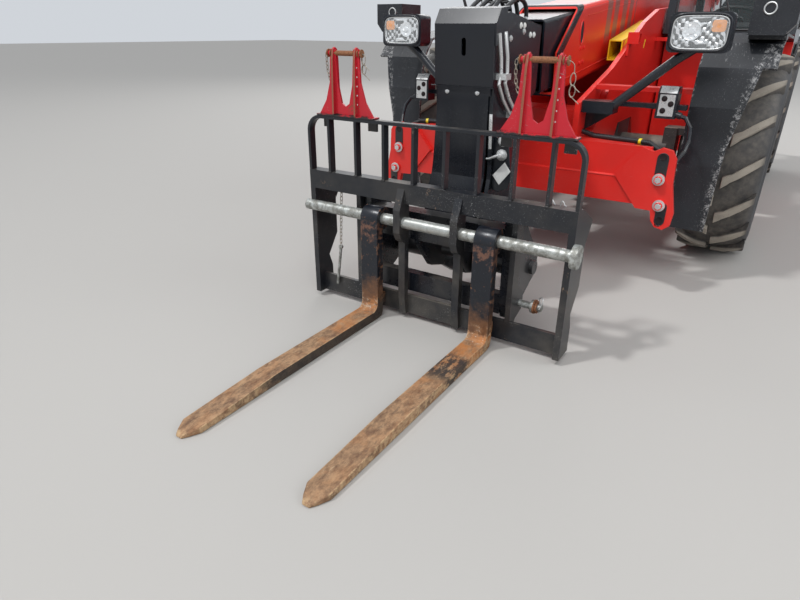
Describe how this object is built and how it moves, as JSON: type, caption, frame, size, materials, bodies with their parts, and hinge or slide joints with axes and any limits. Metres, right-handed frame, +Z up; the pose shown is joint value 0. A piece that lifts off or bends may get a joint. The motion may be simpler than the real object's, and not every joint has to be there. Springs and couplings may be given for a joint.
{
  "type": "telehandler",
  "caption": "Red telescopic handler with pallet forks, boom down, cab on the left, four equal steered wheels.",
  "frame": {"origin": "on the ground under the middle of the overall length and width", "axes": "+X forward to the fork tips, +Y to the machine's left, +Z up"},
  "size_m": [7.0768, 2.84, 2.48],
  "materials": {
    "red_paint": "bright red gloss paint, weathered",
    "black_paint": "black paint, chipped and scratched",
    "bracket_paint": "red paint, chipped to rust",
    "yellow_paint": "yellow paint",
    "worn_steel": "rusty worn steel",
    "plated_steel": "zinc plated",
    "engine_iron": "dark oily iron",
    "black_plastic": "scuffed black plastic",
    "tyre_rubber": "dusty black rubber",
    "window_glass": "clear, slightly tinted",
    "seat_cloth": "dark cloth"
  },
  "bodies": {
    "chassis": {"axle_front": "black_paint", "axle_rear": "black_paint", "boom_prop": "yellow_paint", "cab_frame": "red_paint", "cab_glass": "window_glass", "cab_roof": "red_paint", "cab_tub": "red_paint", "chassis_frame": "red_paint", "console": "black_plastic", "counterweight": "red_paint", "engine_block": "engine_iron", "engine_side": "red_paint", "front_crossbeam": "red_paint", "fuel_tank": "black_plastic", "headlamp_left": "black_paint", "headlamp_right": "black_paint", "mirror_left": "black_plastic", "mirror_right": "black_plastic", "mudguard_front_left": "black_plastic", "mudguard_front_right": "black_plastic", "mudguard_rear_left": "black_plastic", "mudguard_rear_right": "black_plastic", "rear_lamps": "black_plastic", "seat": "seat_cloth", "valve_block_left": "black_paint", "valve_block_right": "black_paint"},
    "boom_outer": {"boom_outer": "red_paint", "boom_collar": "black_paint"},
    "boom_mid": {"boom_mid": "black_paint"},
    "boom_inner": {"boom_inner": "black_paint", "head_cover": "black_paint", "boom_pipes": "plated_steel"},
    "tilt_barrel": {"tilt_barrel": "black_paint"},
    "tilt_rod": {"tilt_rod": "plated_steel"},
    "lift_barrel": {"lift_barrel": "black_paint"},
    "lift_rod": {"lift_rod": "plated_steel"},
    "carriage": {"coupler": "black_paint", "locking_pin": "plated_steel", "fork_frame": "black_paint", "fork_shaft": "plated_steel", "load_guard": "black_paint", "pin_bracket_left": "bracket_paint", "pin_bracket_right": "bracket_paint"},
    "fork_left": {"fork_left": "worn_steel"},
    "fork_right": {"fork_right": "worn_steel"},
    "cab_door": {"cab_door": "red_paint", "cab_door_glass": "window_glass"},
    "engine_hood": {"engine_hood": "red_paint"},
    "knuckle_front_left": {"knuckle_front_left": "black_paint"},
    "wheel_front_left": {"rim_front_left": "red_paint", "tyre_front_left": "tyre_rubber"},
    "knuckle_front_right": {"knuckle_front_right": "black_paint"},
    "wheel_front_right": {"rim_front_right": "red_paint", "tyre_front_right": "tyre_rubber"},
    "knuckle_rear_left": {"knuckle_rear_left": "black_paint"},
    "wheel_rear_left": {"rim_rear_left": "red_paint", "tyre_rear_left": "tyre_rubber"},
    "knuckle_rear_right": {"knuckle_rear_right": "black_paint"},
    "wheel_rear_right": {"rim_rear_right": "red_paint", "tyre_rear_right": "tyre_rubber"}
  },
  "joints": [
    {"name": "boom_lift", "type": "hinge", "parent": "chassis", "child": "boom_outer", "pos_m": [-2.9985, 0, 1.69], "axis": [0, -1, 0], "range_deg": [0, 66]},
    {"name": "boom_mid_slide", "type": "slide", "parent": "boom_outer", "child": "boom_mid", "axis": [0.9945, 0, -0.1045], "range_m": [0, 2.5]},
    {"name": "boom_inner_slide", "type": "slide", "parent": "boom_mid", "child": "boom_inner", "axis": [0.9945, 0, -0.1045], "range_m": [0, 2.5]},
    {"name": "carriage_tilt", "type": "hinge", "parent": "boom_inner", "child": "carriage", "pos_m": [1.9315, 0, 0.3], "axis": [0, 1, 0], "range_deg": [-12, 114]},
    {"name": "lift_barrel_swing", "type": "hinge", "parent": "chassis", "child": "lift_barrel", "pos_m": [-2.54, 0, 0.96], "axis": [0, -1, 0], "range_deg": [0, 63.85]},
    {"name": "lift_rod_slide", "type": "slide", "parent": "lift_barrel", "child": "lift_rod", "axis": [0.9892, 0, 0.1464], "range_m": [0, 0.9503]},
    {"name": "tilt_barrel_swing", "type": "hinge", "parent": "boom_inner", "child": "tilt_barrel", "pos_m": [1.6815, 0, 1.22], "axis": [0, -1, 0], "range_deg": [-1.36, 12.89]},
    {"name": "tilt_rod_slide", "type": "slide", "parent": "tilt_barrel", "child": "tilt_rod", "axis": [0.0668, 0, -0.9978], "range_m": [-0.3207, 0.0342]},
    {"name": "fork_left_swing", "type": "hinge", "parent": "carriage", "child": "fork_left", "pos_m": [2.2815, 0.325, 0.526], "axis": [0, -1, 0], "range_deg": [0, 25]},
    {"name": "fork_right_swing", "type": "hinge", "parent": "carriage", "child": "fork_right", "pos_m": [2.2815, -0.29, 0.526], "axis": [0, -1, 0], "range_deg": [0, 25]},
    {"name": "cab_door_hinge", "type": "hinge", "parent": "chassis", "child": "cab_door", "pos_m": [-1.848, 1.211, 1.4], "axis": [0, 0, 1], "range_deg": [0, 95]},
    {"name": "engine_hood_hinge", "type": "hinge", "parent": "chassis", "child": "engine_hood", "pos_m": [-1.3335, -0.35, 1.455], "axis": [-1, 0, 0], "range_deg": [0, 60]},
    {"name": "front_left_steer", "type": "hinge", "parent": "chassis", "child": "knuckle_front_left", "pos_m": [0.1115, 0.773, 0.6287], "axis": [0, 0, 1], "range_deg": [-30, 30]},
    {"name": "front_left_spin", "type": "hinge", "parent": "knuckle_front_left", "child": "wheel_front_left", "pos_m": [0.1115, 1.048, 0.6287], "axis": [0, 1, 0], "continuous": true},
    {"name": "front_right_steer", "type": "hinge", "parent": "chassis", "child": "knuckle_front_right", "pos_m": [0.1115, -0.773, 0.6287], "axis": [0, 0, 1], "range_deg": [-30, 30]},
    {"name": "front_right_spin", "type": "hinge", "parent": "knuckle_front_right", "child": "wheel_front_right", "pos_m": [0.1115, -1.048, 0.6287], "axis": [0, 1, 0], "continuous": true},
    {"name": "rear_left_steer", "type": "hinge", "parent": "chassis", "child": "knuckle_rear_left", "pos_m": [-2.7385, 0.773, 0.6287], "axis": [0, 0, 1], "range_deg": [-30, 30]},
    {"name": "rear_left_spin", "type": "hinge", "parent": "knuckle_rear_left", "child": "wheel_rear_left", "pos_m": [-2.7385, 1.048, 0.6287], "axis": [0, 1, 0], "continuous": true},
    {"name": "rear_right_steer", "type": "hinge", "parent": "chassis", "child": "knuckle_rear_right", "pos_m": [-2.7385, -0.773, 0.6287], "axis": [0, 0, 1], "range_deg": [-30, 30]},
    {"name": "rear_right_spin", "type": "hinge", "parent": "knuckle_rear_right", "child": "wheel_rear_right", "pos_m": [-2.7385, -1.048, 0.6287], "axis": [0, 1, 0], "continuous": true}
  ],
  "couplings": [
    {"joint": "front_right_steer", "follows": "front_left_steer", "ratio": 1},
    {"joint": "rear_right_steer", "follows": "rear_left_steer", "ratio": 1},
    {"joint": "boom_inner_slide", "follows": "boom_mid_slide", "ratio": 1},
    {"joint": "lift_barrel_swing", "follows": "boom_lift", "ratio": 0.94838},
    {"joint": "lift_rod_slide", "follows": "boom_lift", "m_per_rad": 0.8084},
    {"joint": "tilt_barrel_swing", "follows": "carriage_tilt", "ratio": 0.11081},
    {"joint": "tilt_rod_slide", "follows": "carriage_tilt", "m_per_rad": -0.15778}
  ]
}
